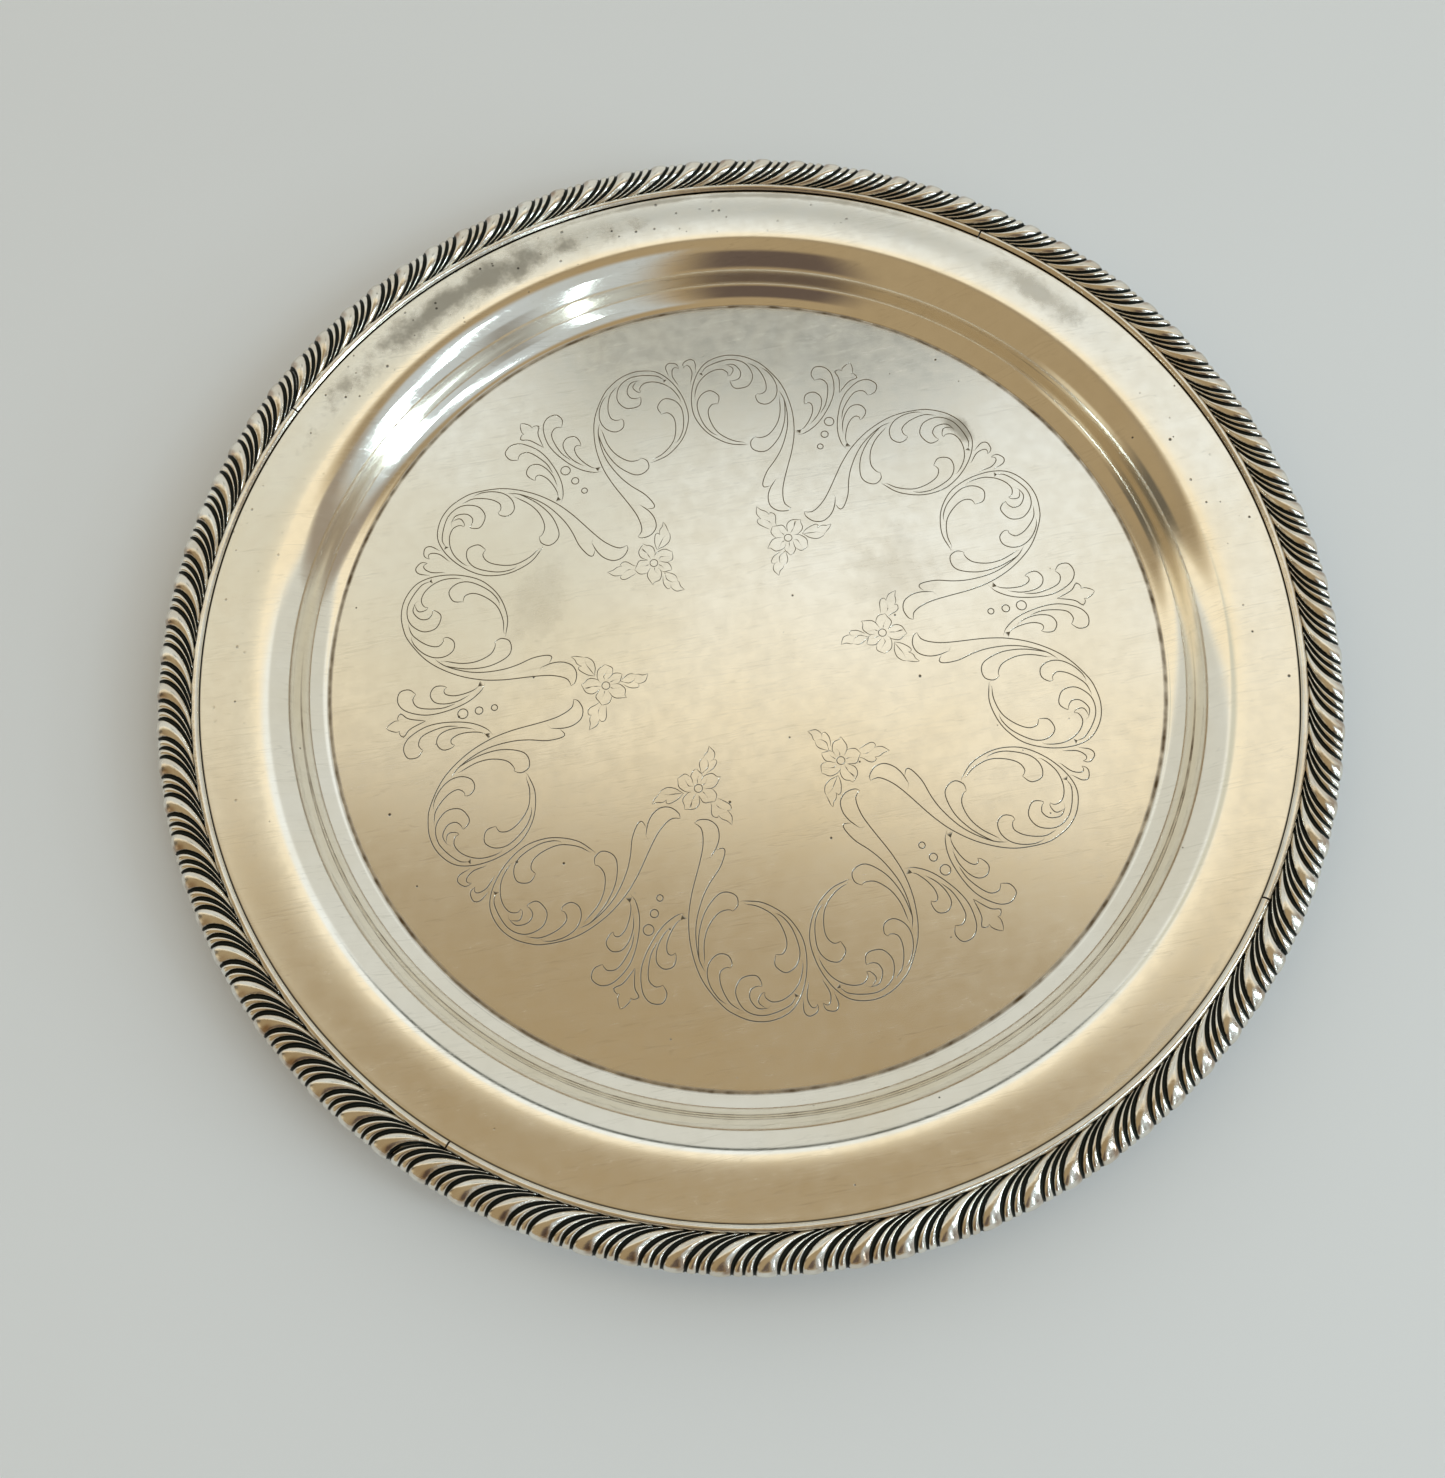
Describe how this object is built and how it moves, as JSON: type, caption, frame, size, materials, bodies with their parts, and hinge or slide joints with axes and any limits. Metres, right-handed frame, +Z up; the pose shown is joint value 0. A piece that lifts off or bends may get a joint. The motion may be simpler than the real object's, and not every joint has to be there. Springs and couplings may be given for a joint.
{
  "type": "salver",
  "caption": "Round salver with a flat engraved well, an S-shaped wall, a plain flange and an applied gadroon border made up of four lengths.",
  "frame": {"origin": "centre of the flat underside, on the surface that the salver stands on", "axes": "+Z up out of the well; +X runs out over the middle of an engraved flower, and the flowers repeat every 60 degrees"},
  "size_m": [0.3046, 0.3046, 0.02],
  "materials": {
    "dish_plate": "worn silver plate over a copper alloy sheet, mirror-like with fine scratches and a warm tarnish",
    "border_plate": "worn silver plate with black oxide left in the grooves",
    "solder": "dull grey lead-tin solder"
  },
  "bodies": {
    "root": {"pressed_dish": "dish_plate", "gadroon_length_1": "border_plate", "gadroon_length_2": "border_plate", "gadroon_length_3": "border_plate", "gadroon_length_4": "border_plate", "solder_fill_1": "solder", "solder_fill_2": "solder", "solder_fill_3": "solder", "solder_fill_4": "solder"}
  },
  "joints": []
}
